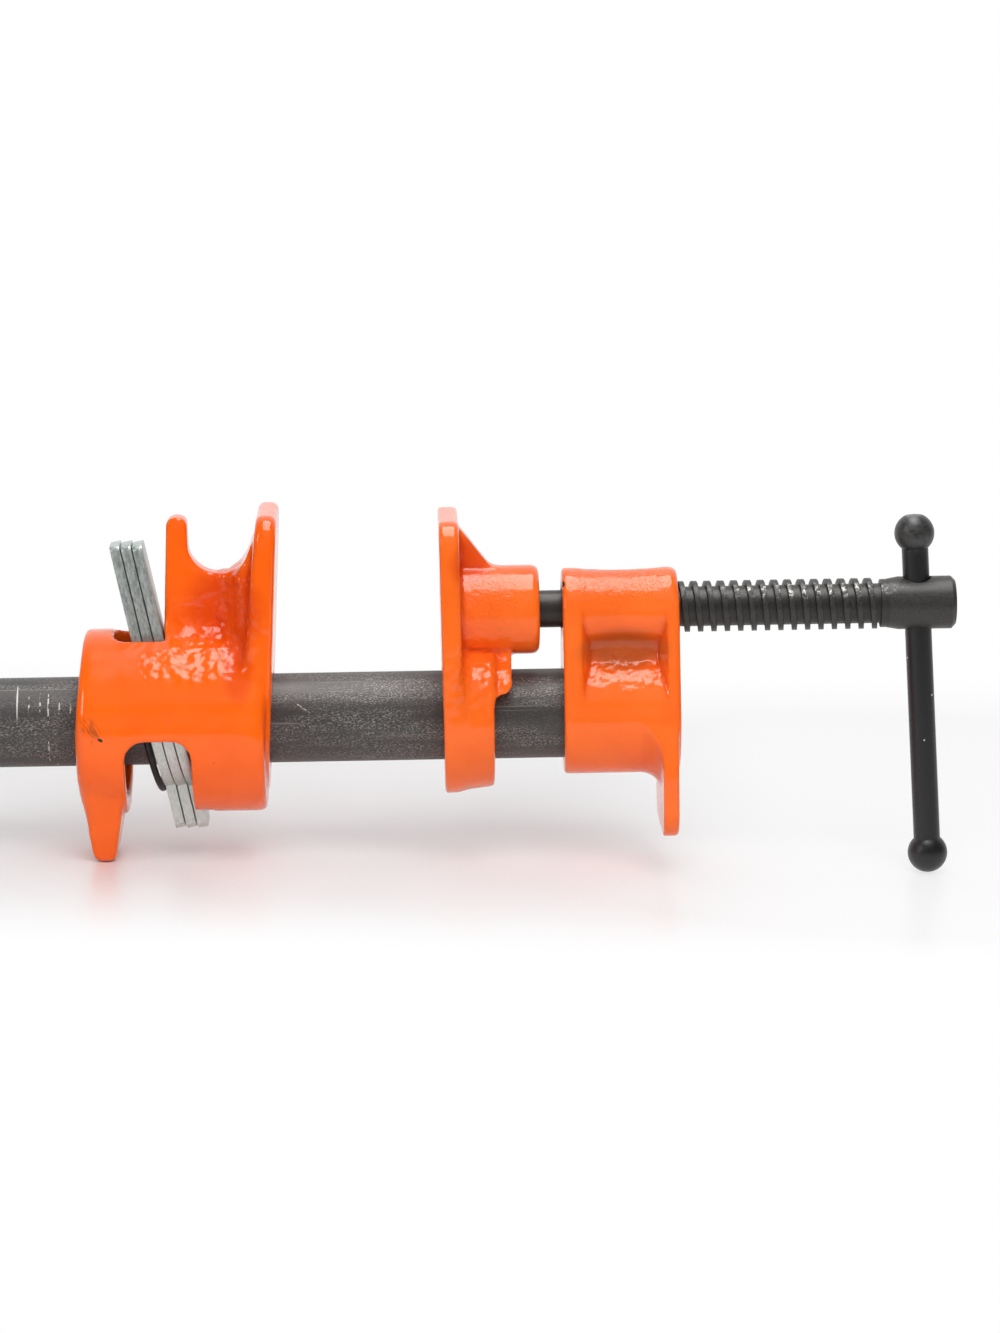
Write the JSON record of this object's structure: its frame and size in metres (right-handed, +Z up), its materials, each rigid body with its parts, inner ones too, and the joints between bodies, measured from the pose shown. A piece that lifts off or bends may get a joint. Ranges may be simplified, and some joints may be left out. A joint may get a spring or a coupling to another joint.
{
  "type": "woodworking pipe clamp",
  "caption": "Pipe clamp: threaded head with screw, sliding jaw and bar handle on a steel pipe, and a sliding tail stop that tilting plates lock.",
  "frame": {"origin": "under the middle of the whole clamp, on the level of its lowest point, the handle's lower ball", "axes": "+X along the pipe towards the handle, +Y to the back of the picture, +Z up"},
  "size_m": [0.3904, 0.0552, 0.1139],
  "materials": {
    "orange_enamel": "glossy enamel on iron castings",
    "black_pipe": "mill scale with rubbed bands",
    "black_oxide": "black oxide with rubbed crests",
    "black_satin": "satin black",
    "zinc_steel": "zinc plate with sheared edges",
    "spring_steel": "black"
  },
  "bodies": {
    "frame": {"pipe": "black_pipe", "head_casting": "orange_enamel"},
    "sliding_jaw": {"sliding_jaw_casting": "orange_enamel", "spindle_washer": "zinc_steel"},
    "spindle": {"spindle_screw": "black_oxide", "spindle_retaining_ring": "black_oxide"},
    "handle": {"handle_bar": "black_satin", "handle_end_ball": "black_satin"},
    "tail_stop": {"clutch_casting": "orange_enamel", "clutch_spring": "spring_steel"},
    "plate_front": {"clutch_plate_front": "zinc_steel"},
    "plate_middle": {"clutch_plate_middle": "zinc_steel"},
    "plate_rear": {"clutch_plate_rear": "zinc_steel"}
  },
  "joints": [
    {"name": "jaw_travel", "type": "slide", "parent": "frame", "child": "sliding_jaw", "axis": [-1, 0, 0], "range_m": [-0.006, 0.047]},
    {"name": "screw_turn", "type": "hinge", "parent": "sliding_jaw", "child": "spindle", "pos_m": [0.0776, 0, 0.0823], "axis": [-1, 0, 0], "range_deg": [-550, 4240]},
    {"name": "handle_slide", "type": "slide", "parent": "spindle", "child": "handle", "axis": [-0.0419, 0, 0.9991], "range_m": [-0.00822, 0.06362]},
    {"name": "tail_slide", "type": "slide", "parent": "frame", "child": "tail_stop", "axis": [1, 0, 0], "range_m": [-0.108, 0]},
    {"name": "plate_rear_tilt", "type": "hinge", "parent": "tail_stop", "child": "plate_rear", "pos_m": [-0.04787, 0, 0.0783], "axis": [0, 1, 0], "range_deg": [0, 10], "stiffness_Nm_per_rad": 0.3, "springref_deg": -5.73, "deforming": ["clutch_spring"]},
    {"name": "plate_middle_tilt", "type": "hinge", "parent": "tail_stop", "child": "plate_middle", "pos_m": [-0.04451, 0, 0.0783], "axis": [0, 1, 0], "range_deg": [0, 10]},
    {"name": "plate_front_tilt", "type": "hinge", "parent": "tail_stop", "child": "plate_front", "pos_m": [-0.04114, 0, 0.0783], "axis": [0, 1, 0], "range_deg": [0, 10]}
  ],
  "couplings": [
    {"joint": "screw_turn", "follows": "jaw_travel", "rad_per_m": 1570.8},
    {"joint": "plate_middle_tilt", "follows": "plate_rear_tilt", "ratio": 1},
    {"joint": "plate_front_tilt", "follows": "plate_rear_tilt", "ratio": 1}
  ]
}
